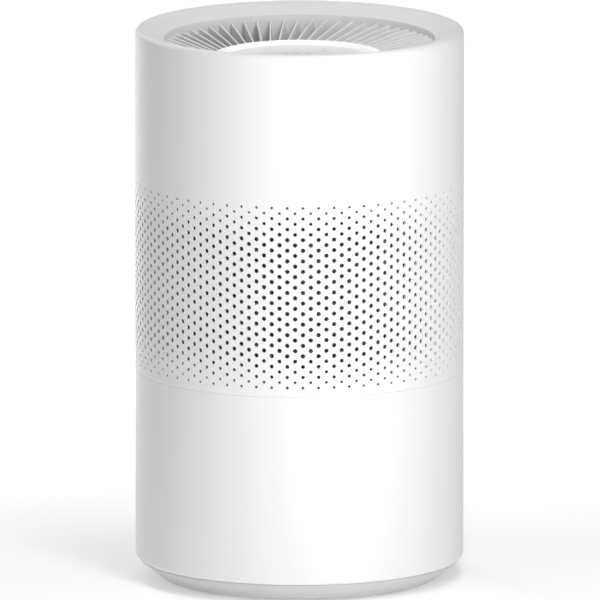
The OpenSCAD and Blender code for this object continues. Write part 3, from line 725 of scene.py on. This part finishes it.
def lower_casing(material):
    ledge_z = LOWER_LOW + LEDGE_T
    tongue_r = INNER_R - 0.15 * MM
    tongue_t = 2 * MM
    tongue_h = TONGUE_TOP - SEAM_Z
    seam_low = SEAM_Z - SEAM_SHOWN / 2
    outline = rounded([
        (INNER_R, ledge_z, 0), (LEDGE_R, ledge_z, 0.3 * MM), (LEDGE_R, LOWER_LOW, 0.3 * MM),
        (BODY_R, LOWER_LOW, 2.4 * MM), (BODY_R, seam_low, EDGE), (tongue_r, seam_low, 0),
        (tongue_r, TONGUE_TOP, 0.3 * MM), (tongue_r - tongue_t, TONGUE_TOP, 0.3 * MM),
        (tongue_r - tongue_t, LOWER_TOP - tongue_h, 0), (INNER_R, LOWER_TOP - tongue_h - tongue_t, 0)])
    added, cut = [], []
    for a in SCREW_DEG:
        at = (BOSS_AT * math.cos(math.radians(a)), BOSS_AT * math.sin(math.radians(a)))
        low = SEAM_Z - BOSS_H
        added.append(drum(BOSS_R, low, TONGUE_TOP, at, 32))
        added.append(block((BOSS_AT + BOSS_R - 1 * MM, -RIB_HALF, low),
                           (INNER_R + 0.5 * MM, RIB_HALF, LOWER_TOP - 1 * MM), a))
        cut.append(drum(SCREW_HOLE_R, low - 1 * MM, TONGUE_TOP + 1 * MM, at, 24))
    for a in LUG_DEG:
        added.append(arc_block(INNER_R + 0.5 * MM, LEDGE_R + 1 * MM, ledge_z - 1 * MM, ledge_z + STOP_H,
                               a + LUG_SPAN / 2 + 2, 2, 2))
        cut.append(arc_block(LUG_R + 0.6 * MM, LEDGE_R - 1 * MM, LOWER_LOW - 1 * MM,
                             ledge_z + 0.01 * MM, a - TWIST, LUG_SPAN + 2))
    ear_r = math.hypot((SWITCH[0].x + SWITCH[1].x) / 2, (SWITCH[0].y + SWITCH[1].y) / 2) + 2 * MM
    for side in (-1, 1):
        middle = side * EAR_OFFSET
        added.append(block((ear_r, middle - RIB_HALF, SWITCH[0].z),
                           (INNER_R + 0.6 * MM, middle + RIB_HALF, SWITCH[1].z), SWITCH_DEG))
    floor = JACK_FACE - RECESS_WALL
    added.append(rear_drum(RECESS_R + RECESS_WALL, floor, BODY_R - 2 * MM, JACK_Z))
    cut.append(rear_drum(RECESS_R, JACK_FACE, BODY_R + 5 * MM, JACK_Z))
    cut.append(rear_drum(JACK_HOLE_R, floor - 1 * MM, JACK_FACE + 1 * MM, JACK_Z))
    verts, faces = carve(lathe(outline, 2 * HOLE_COLUMNS), added, cut)
    obj = piece("lower_casing_shell", verts, faces, "housing", material, ["lower_casing"])
    true_round(obj, BODY_R)
    return obj


# ---------------------------------------------------------------- base cover and feet

FOOT_W = 12 * MM
GRIP_R = 34 * MM
GRIP_DEPTH = 9 * MM
GRIP_BAR = 15 * MM
COLLAR_R = LEDGE_R - 0.6 * MM
COLLAR_T = 2.8 * MM
COVER_TOP = LOWER_LOW - 0.3 * MM
COLLAR_TOP = LOWER_LOW + LEDGE_T + 3.8 * MM
REST_R = 70 * MM
REST_T = 2.2 * MM
RIB_COUNT = 6
FOOT_MARGIN = 5 * MM        # from the feet to the bevel's lower edge
FOOT_SINK = 1 * MM
FOOT_SLIP = 0.15 * MM
RAMP_STEPS = 12             # the ramp that lifts the switch's plunger, in flat steps
RAMP_FALL = 0.136 * MM      # of each step
RAMP_H = 3 * MM
RAMP_FIRST_DEG = 117


def base_cover(material):
    low_r = FEET_R + FOOT_MARGIN
    floor_t = 3.1 * MM
    wall_t = 2.4 * MM
    outline = rounded([
        (0, COVER_LOW, 0), (low_r, COVER_LOW, 1.2 * MM), (COVER_R, COVER_TOP - 1.2 * MM, 0.4 * MM),
        (COVER_R, COVER_TOP, EDGE), (COLLAR_R, COVER_TOP, 0), (COLLAR_R, COLLAR_TOP, 0.4 * MM),
        (COLLAR_R - COLLAR_T, COLLAR_TOP, 0.4 * MM), (COLLAR_R - COLLAR_T, COVER_TOP - wall_t, 0.5 * MM),
        (low_r - 0.2 * MM, COVER_LOW + floor_t, 1 * MM), (0, COVER_LOW + floor_t, 0)])
    rest_top = LOWER_LOW + LEDGE_T + 0.7 * MM
    added, cut = [], []
    for a in LUG_DEG:
        lug_z = LOWER_LOW + LEDGE_T + 0.4 * MM
        added.append(arc_block(LUG_R, COLLAR_R - 1 * MM, lug_z, lug_z + 2.6 * MM, a, LUG_SPAN))
    added.append(lathe(rounded([
        (REST_R - REST_T, COVER_LOW + 1 * MM, 0), (REST_R, COVER_LOW + 1 * MM, 0),
        (REST_R, rest_top, 0.5 * MM), (REST_R - REST_T, rest_top, 0.5 * MM)], 3), 120))
    for n in range(RIB_COUNT):
        added.append(block((GRIP_R + 1 * MM, -REST_T / 2, COVER_LOW + 1 * MM),
                           (low_r - 1.2 * MM, REST_T / 2, COVER_TOP), 360 / RIB_COUNT * n))
    added.append(lathe(rounded([
        (0, COVER_LOW + 1 * MM, 0), (GRIP_R + wall_t, COVER_LOW + 1 * MM, 0),
        (GRIP_R + wall_t, COVER_LOW + GRIP_DEPTH + wall_t, 1.5 * MM),
        (0, COVER_LOW + GRIP_DEPTH + wall_t, 0)]), 120))
    # Two finger pockets, left and right of the bar
    for side in (-1, 1):
        cut.append(grip_pocket(side))
    for a in FOOT_DEG:
        cut.append(arc_block(FEET_R + FOOT_SLIP, FEET_R - FOOT_W - FOOT_SLIP, COVER_LOW - 1 * MM,
                             COVER_LOW + FOOT_SINK, a, FOOT_SPAN + 0.4))
    ramp = []
    for i in range(RAMP_STEPS):
        top = COLLAR_TOP + RAMP_H - i * RAMP_FALL
        ramp.append(arc_block(COLLAR_R - 0.4 * MM, COLLAR_R - COLLAR_T + 0.4 * MM, COLLAR_TOP - 1 * MM,
                              top, RAMP_FIRST_DEG + (i + 1.5), 2 * (i + 1.5), 4))
    verts, faces = carve(lathe(outline, 2 * HOLE_COLUMNS), added + ramp, cut)
    obj = piece("base_cover_shell", verts, faces, "cover", material, ["base_cover"], sharp=25)
    return obj


def grip_pocket(side):
    """The half-moon between the bar and the rim of the grip, as a solid to cut out."""
    points = []
    start = math.asin(GRIP_BAR / 2 / GRIP_R)
    for n in range(25):
        a = -math.pi / 2 + start + (math.pi - 2 * start) * n / 24
        points.append((side * GRIP_R * math.cos(a), GRIP_R * math.sin(a)))
    if side < 0:
        points.reverse()
    verts = [(x, y, z) for z in (COVER_LOW - 1 * MM, COVER_LOW + GRIP_DEPTH) for x, y in points]
    n = len(points)
    faces = [tuple(range(n))[::-1], tuple(range(n, 2 * n))]
    faces += [(i, (i + 1) % n, n + (i + 1) % n, n + i) for i in range(n)]
    return verts, faces


def rubber_feet(material):
    verts, faces = [], []
    top = COVER_LOW + FOOT_SINK
    outline = rounded([(FEET_R - FOOT_W, 0, 0.8 * MM), (FEET_R, 0, 0.8 * MM), (FEET_R, top, 0),
                       (FEET_R - FOOT_W, top, 0)], 4)
    steps = 20
    for a in FOOT_DEG:
        base = len(verts)
        for n in range(steps + 1):
            # Ends narrow over a short way, so the pad has round ends in plan
            t = 2 * n / steps - 1
            squeeze = math.sqrt(max(0.0, 1 - max(0.0, (abs(t) - 0.6) / 0.42) ** 2))
            angle = math.radians(a + FOOT_SPAN * 0.5 * t)
            middle = FEET_R - FOOT_W / 2
            for r, z in outline:
                rr = middle + (r - middle) * max(squeeze, 0.25)
                verts.append((rr * math.cos(angle), rr * math.sin(angle), z))
        m = len(outline)
        for n in range(steps):
            for i in range(m):
                j = (i + 1) % m
                b, e = base + n * m, base + (n + 1) * m
                faces.append((b + i, e + i, e + j, b + j))
        faces.append(tuple(base + i for i in range(m)))
        faces.append(tuple(base + steps * m + i for i in reversed(range(m))))
    return piece("rubber_feet_pads", verts, faces, "cover", material, ["rubber_feet"])


# ---------------------------------------------------------------- outlet grille

VANES = 60
VANE_T = 1.2 * MM
VANE_SWIRL = math.radians(7.1)
VANE_FIRST_DEG = 91.5       # inner end of the first vane
VANE_IN_R = DISC_R + 2.3 * MM
VANE_OUT_R = THROAT_R + 0.5 * MM
VANE_FALL = 8.3 * MM
VANE_LOW = GRILLE_TOP - 15.2 * MM
VANE_LEAN = 1.3 * MM
VANE_CORNER = 1.2 * MM


def outlet_grille(material):
    verts, faces = lathe(rounded([
        (THROAT_R + 0.05 * MM, VANE_LOW + 0.1 * MM, 0), (GRILLE_R, VANE_LOW + 0.1 * MM, 0),
        (GRILLE_R, GRILLE_TOP, 0), (THROAT_R + 0.05 * MM, GRILLE_TOP, 0)], 3), 240)
    more, extra = lathe(rounded([
        (DISC_R + 0.3 * MM, VANE_LOW - 2.9 * MM, 0), (VANE_IN_R, VANE_LOW - 2.9 * MM, 0),
        (VANE_IN_R, GRILLE_TOP - VANE_FALL, 0.5 * MM),
        (DISC_R + 0.3 * MM, GRILLE_TOP - VANE_FALL, 0.5 * MM)], 3), 180)
    base = len(verts)
    verts, faces = list(verts) + list(more), list(faces) + [[base + i for i in f] for f in extra]
    for n in range(VANES):
        swirl_vane(verts, faces, math.radians(VANE_FIRST_DEG + n * 360 / VANES))
    return piece("outlet_grille_vanes", verts, faces, "housing", material,
                 ["outlet_grille"], sharp=50)


def vane_top(r):
    share = (r - VANE_IN_R) / (THROAT_R - 1.6 * MM - VANE_IN_R)
    z = GRILLE_TOP - VANE_FALL + VANE_FALL * min(share, 1.0)
    past = r - (THROAT_R - VANE_CORNER)
    if past > 0:
        past = min(past, VANE_CORNER * 0.98)
        z -= VANE_CORNER - math.sqrt(VANE_CORNER ** 2 - past ** 2)
    return z


def swirl_vane(verts, faces, start):
    """One straight vane, set across the radius, that leans over towards its top edge."""
    bend = THROAT_R - VANE_CORNER
    tip = bend + (VANE_CORNER + 0.5 * MM) * np.array([0.3, 0.55, 0.75, 0.9, 1])
    along = np.concatenate([np.linspace(VANE_IN_R - 0.8 * MM, bend, 9), tip])
    up = np.array([0, 0.3, 0.55, 0.75, 0.9, 1.0])
    half = VANE_T / 2
    base = len(verts)
    inner = VANE_IN_R * np.array([math.cos(start), math.sin(start)])
    outer = VANE_OUT_R * np.array([math.cos(start - VANE_SWIRL), math.sin(start - VANE_SWIRL)])
    way = (outer - inner) / np.linalg.norm(outer - inner)
    for share in (along - VANE_IN_R) / (VANE_OUT_R - VANE_IN_R):
        x, y = inner + share * (outer - inner)
        top = vane_top(math.hypot(x, y))
        deep = top - half - VANE_LOW
        section = []
        for u in up:
            section.append((-half * (0.75 + 0.25 * u), VANE_LOW + deep * u, u))
        for t in range(1, 6):
            a = math.pi * t / 6
            section.append((-half * math.cos(a), top - half + half * math.sin(a), 1.0))
        for u in up[::-1]:
            section.append((half * (0.75 + 0.25 * u), VANE_LOW + deep * u, u))
        for offset, z, u in section:
            lean = VANE_LEAN * (deep / (15 * MM)) * (u ** 2 - 1) + offset
            verts.append((x - lean * way[1], y + lean * way[0], z))
    m = 2 * len(up) + 5
    for i in range(len(along) - 1):
        for j in range(m - 1):
            a, b = base + i * m + j, base + (i + 1) * m + j
            faces.append((a, b, b + 1, a + 1))
        a, b = base + i * m, base + (i + 1) * m
        faces.append((a + m - 1, b + m - 1, b, a))
    faces.append([base + j for j in range(m)])
    faces.append([base + (len(along) - 1) * m + j for j in reversed(range(m))])


# ---------------------------------------------------------------- control disc

RIM_W = 4 * MM
PANEL_DISH = 0.6 * MM
MARK_PROUD = 0.02 * MM
KEY_MARKS = ((-9.6, 21.6), (-2.2, 21.6), (5.3, 21.6))     # in mm, as all marks
KEY_BARS = ((-1.4, 3.8), (0, 2.6), (1.4, 3.8))            # offset and length of each bar
KEY_BAR_W = 0.9
LEVEL_MARK = (17, 40)
LEVEL_BARS = 5
LEVEL_PITCH = 4.5
LEVEL_BAR = (2.6, 1.1)
RIM_DOTS = ((176, 102), (176, 99.4), (191, 102))          # degrees round the rim, and radius
RIM_DOT_R = 0.45


def panel_rim(material):
    verts, faces = lathe(rounded([
        (DISC_R - RIM_W, RIM_LOW, 0), (DISC_R, RIM_LOW, 0), (DISC_R, DISC_TOP, 1.4 * MM),
        (DISC_R - RIM_W, DISC_TOP, 1.3 * MM)], 8), 240)
    return piece("panel_rim_ring", verts, faces, "housing", material, ["panel_rim"], sharp=50)


def control_panel(material):
    floor = PANEL_TOP - PANEL_DISH
    verts, faces = lathe(rounded([
        (0, PANEL_LOW, 0), (PANEL_R, PANEL_LOW, 0), (PANEL_R, PANEL_TOP, 0.1 * MM),
        (PANEL_R - 0.8 * MM, PANEL_TOP, 0.6 * MM), (PANEL_R - 6 * MM, floor, 12 * MM),
        (0, floor, 0)], 8), 240)
    return piece("control_panel_dish", verts, faces, "housing", material,
                 ["control_panel"], sharp=60)


def disc_plate(verts, faces, x, y, low, high, outline):
    """A thin plate with a small outline, laid flat round (x, y)."""
    base, n = len(verts), len(outline)
    verts += [(x + px, y + py, z) for z in (low, high) for px, py in outline]
    faces += [[base + i for i in reversed(range(n))], [base + n + i for i in range(n)]]
    faces += [(base + i, base + (i + 1) % n, base + n + (i + 1) % n, base + n + i) for i in range(n)]


def capsule(length, width, steps=8):
    half = (length - width) / 2
    out = []
    for side in (1, -1):
        for t in range(steps + 1):
            a = math.pi * (t / steps - 0.5)
            out.append((side * (half + width / 2 * math.cos(a)), side * width / 2 * math.sin(a)))
    return out


def panel_marks(material):
    """Three plain key marks of stacked bars and one row of bars, set almost flush into the panel."""
    verts, faces = [], []
    low, high = PANEL_TOP - PANEL_DISH - 0.3 * MM, PANEL_TOP - PANEL_DISH + MARK_PROUD
    for x, y in KEY_MARKS:
        for step, length in KEY_BARS:
            bar = capsule(length * MM, KEY_BAR_W * MM)
            disc_plate(verts, faces, x * MM, (y + step) * MM, low, high, bar)
    x, y = LEVEL_MARK
    bar = capsule(LEVEL_BAR[0] * MM, LEVEL_BAR[1] * MM)
    for n in range(LEVEL_BARS):
        step = LEVEL_PITCH * (n - (LEVEL_BARS - 1) / 2)
        disc_plate(verts, faces, x * MM, (y + step) * MM, low, high, bar)
    return piece("panel_marks_print", verts, faces, "housing", material, sharp=30)


def rim_dots(material):
    """Small printed dots on the slope."""
    verts, faces = [], []
    for angle_deg, radius in RIM_DOTS:
        a, r0 = math.radians(angle_deg), radius * MM
        base = len(verts)
        ring = 12
        for lift in (-0.3 * MM, MARK_PROUD):
            for t in range(ring):
                b = 2 * math.pi * t / ring
                dr, dt = RIM_DOT_R * MM * math.cos(b), RIM_DOT_R * MM * math.sin(b)
                r = r0 + dr
                z = rim_surface(r) + lift
                verts.append((r * math.cos(a) - dt * math.sin(a), r * math.sin(a) + dt * math.cos(a), z))
        faces += [[base + i for i in reversed(range(ring))], [base + ring + i for i in range(ring)]]
        faces += [(base + i, base + (i + 1) % ring, base + ring + (i + 1) % ring, base + ring + i)
                  for i in range(ring)]
    return piece("rim_dots_print", verts, faces, "housing", material, sharp=30)


# ---------------------------------------------------------------- materials and assembly

WHITE = (0.865, 0.865, 0.865)
MATERIALS = {
    "casing_white": plastic("casing_white", WHITE, 0.46, 1500, 0.006 * MM, 0.006),
    # The cover's grey is painted shade: the darkness of its downward-facing bevel is put into the colour,
    # lowered further against the floor's glow.
    "cover_grey": plastic("cover_grey", (0.62, 0.62, 0.62), 0.55, 1500, 0.01 * MM, 0.01),
    "grille_white": plastic("grille_white", (0.86, 0.86, 0.86), 0.5, 1500, 0.006 * MM, 0.006),
    "rim_white": plastic("rim_white", (0.9, 0.9, 0.9), 0.3, 1500, 0.004 * MM, 0.004, 0.3),
    "panel_white": plastic("panel_white", (0.88, 0.88, 0.88), 0.3, 1500, 0.004 * MM, 0.006, 0.2),
    "print_grey": plastic("print_grey", (0.60, 0.60, 0.60), 0.5, 1500, 0.002 * MM, 0.01),
    "inner_white": plastic("inner_white", (0.74, 0.745, 0.75), 0.5, 1200, 0.02 * MM, 0.02),
    "part_black": plastic("part_black", (0.025, 0.026, 0.028), 0.4, 1400, 0.02 * MM, 0.08),
    "sensor_grey": plastic("sensor_grey", (0.42, 0.43, 0.45), 0.45, 1400, 0.02 * MM, 0.04),
    "lead_red": plastic("lead_red", (0.55, 0.03, 0.03), 0.35, 1400, 0.01 * MM, 0.05, 0.2),
    "plunger_ivory": plastic("plunger_ivory", (0.75, 0.70, 0.58), 0.35, 1400, 0.01 * MM, 0.03),
    "rubber_grey": rubber("rubber_grey", (0.23, 0.235, 0.24)),
    "light_clear": clear_plastic("light_clear"),
    "board_green": circuit("board_green", (0.02, 0.22, 0.08)),
    "steel": metal("steel", (0.62, 0.62, 0.63), 0.28),
    "core_steel": laminated("core_steel", (0.36, 0.37, 0.39)),
    "copper": winding("copper", (0.75, 0.32, 0.14)),
    "magnet": granules("magnet", (0.07, 0.07, 0.075), 2400, 0.05 * MM),
    "brass_nut": metal("brass_nut", (0.72, 0.52, 0.22), 0.25),
    "foam_grey": granules("foam_grey", (0.09, 0.09, 0.095), 1500, 0.4 * MM),
    "mesh_fabric": net("mesh_fabric", (0.42, 0.42, 0.42)),
    "media_paper": paper("media_paper", (0.80, 0.80, 0.78)),
    "carbon": granules("carbon", (0.03, 0.03, 0.032), 700, 0.6 * MM),
    "tab_blue": woven("tab_blue", (0.05, 0.16, 0.5)),
}
NODE_MATERIALS = {
    "light_guide": "light_clear", "touch_board": "board_green", "disc_housing": "inner_white",
    "fan_housing": "inner_white", "fan_deck": "inner_white", "inlet_guard": "steel",
    "motor_base": "steel", "motor_grommets": "rubber_grey", "motor_screws": "steel",
    "stator_core": "core_steel", "stator_coils": "copper", "motor_bearings": "steel",
    "motor_shaft": "steel", "rotor_can": "steel", "rotor_magnets": "magnet",
    "impeller": "inner_white", "impeller_nut": "brass_nut", "main_board": "board_green",
    "board_parts": "part_black", "board_screws": "steel", "sensor_module": "sensor_grey",
    "dc_jack": "part_black", "jack_contact": "steel", "supply_lead": "lead_red",
    "interlock_switch": "part_black", "switch_plunger": "plunger_ivory", "casing_screws": "steel",
    "deck_screws": "steel", "filter_bottom_cap": "inner_white", "filter_top_cap": "inner_white",
    "filter_gasket": "foam_grey", "prefilter_mesh": "mesh_fabric", "hepa_media": "media_paper",
    "carbon_core": "carbon", "filter_pull_tab": "tab_blue",
}

# The rim's white plastic gets a faint painted glow so that it reads brighter; the ring is no lamp.
ring_painted_glow_shader = MATERIALS["rim_white"].node_tree.nodes["Principled BSDF"]
ring_painted_glow_shader.inputs["Emission Color"].default_value = (1, 1, 1, 1)
ring_painted_glow_shader.inputs["Emission Strength"].default_value = 0.3

upper_casing(MATERIALS["casing_white"])
lower_casing(MATERIALS["casing_white"])
base_cover(MATERIALS["cover_grey"])
rubber_feet(MATERIALS["rubber_grey"])
outlet_grille(MATERIALS["grille_white"])
panel_rim(MATERIALS["rim_white"])
control_panel(MATERIALS["panel_white"])
panel_marks(MATERIALS["print_grey"])
rim_dots(MATERIALS["print_grey"])

for name, material in NODE_MATERIALS.items():
    mesh = NODES[name].data
    mesh.materials.clear()
    mesh.materials.append(MATERIALS[material])
    mesh.polygons.foreach_set("material_index", [0] * len(mesh.polygons))
    mesh.shade_smooth()
    mesh.set_sharp_from_angle(angle=math.radians(30))


# ---------------------------------------------------------------- floor, light and camera

def floor(front_glow, rear_glow):
    """A wide pale sheet under the object, lit from below like a light table, more so behind the object."""
    reach = 12.0
    mesh = bpy.data.meshes.new("floor_sheet")
    mesh.from_pydata([(-reach, -reach, 0), (reach, -reach, 0), (reach, reach, 0), (-reach, reach, 0)],
                     [], [(0, 1, 2, 3)])
    obj = bpy.data.objects.new("floor_sheet", mesh)
    bpy.context.scene.collection.objects.link(obj)
    mat, tree, shader = new_material("floor_pale")
    at = object_coordinates(tree)
    soft = noise(tree, at, 3, 2)
    tree.links.new(tint(tree, soft, (0.92, 0.92, 0.92), (0.94, 0.94, 0.94)), shader.inputs["Base Color"])
    shader.inputs["Roughness"].default_value = 0.9
    shader.inputs["Emission Color"].default_value = (1, 1, 1, 1)
    split = node(tree, "ShaderNodeSeparateXYZ")
    tree.links.new(at, split.inputs[0])
    glow = spread(tree, split.outputs["Y"], front_glow, rear_glow)
    glow.node.inputs["From Min"].default_value = 0.1
    glow.node.inputs["From Max"].default_value = 0.7
    tree.links.new(glow, shader.inputs["Emission Strength"])
    mesh.materials.append(mat)


def soft_light(name, azimuth, elevation, distance, width, height, power, aim=0.2):
    """An area light that points at the object; azimuth 0 is the front, 90 the right."""
    a, e = math.radians(azimuth), math.radians(elevation)
    way = Vector((math.sin(a) * math.cos(e), -math.cos(a) * math.cos(e), math.sin(e)))
    lamp = bpy.data.lights.new(name, "AREA")
    lamp.shape, lamp.size, lamp.size_y, lamp.energy = "RECTANGLE", width, height, power
    obj = bpy.data.objects.new(name, lamp)
    obj.location = way * distance + Vector((0, 0, aim))
    obj.rotation_euler = way.to_track_quat("Z", "Y").to_euler()
    bpy.context.scene.collection.objects.link(obj)


floor(0.26, 0.68)
soft_light("key_near", 17, 0, 0.42, 0.12, 1.0, 1.4, 0.3)
soft_light("key_high", 17, 40, 1.0, 0.3, 0.4, 1.7, 0.35)
soft_light("rim_left", -150, 5, 0.8, 0.2, 1.0, 1.5, 0.3)
soft_light("top_soft", 20, 85, 1.4, 0.8, 0.8, 4.5, 0.3)
soft_light("top_left_back", -135, 50, 1.4, 0.6, 0.6, 1.2, 0.3)

world = bpy.data.worlds.new("studio")
world.use_nodes = True
world.node_tree.nodes["Background"].inputs["Color"].default_value = (1, 1, 1, 1)
world.node_tree.nodes["Background"].inputs["Strength"].default_value = 0.32
bpy.context.scene.world = world
bpy.context.scene.view_settings.view_transform = "Standard"

# A narrow lens from far away, for hardly any perspective
camera = bpy.data.objects.new("camera", bpy.data.cameras.new("camera"))
HALF_ANGLE = math.radians(0.75)
HALF_WIDTH = 201 * MM
ELEVATION = math.radians(10.6)
TARGET = Vector((0.33 * MM, 0, 187.4 * MM))
camera.data.sensor_width = 36
camera.data.lens = 18 / math.tan(HALF_ANGLE)
camera.data.clip_end = 30
reach = HALF_WIDTH / math.tan(HALF_ANGLE)
camera.location = TARGET + Vector((0, -math.cos(ELEVATION), math.sin(ELEVATION))) * reach
camera.rotation_euler = (math.pi / 2 - ELEVATION, 0, 0)
bpy.context.scene.collection.objects.link(camera)
bpy.context.scene.camera = camera
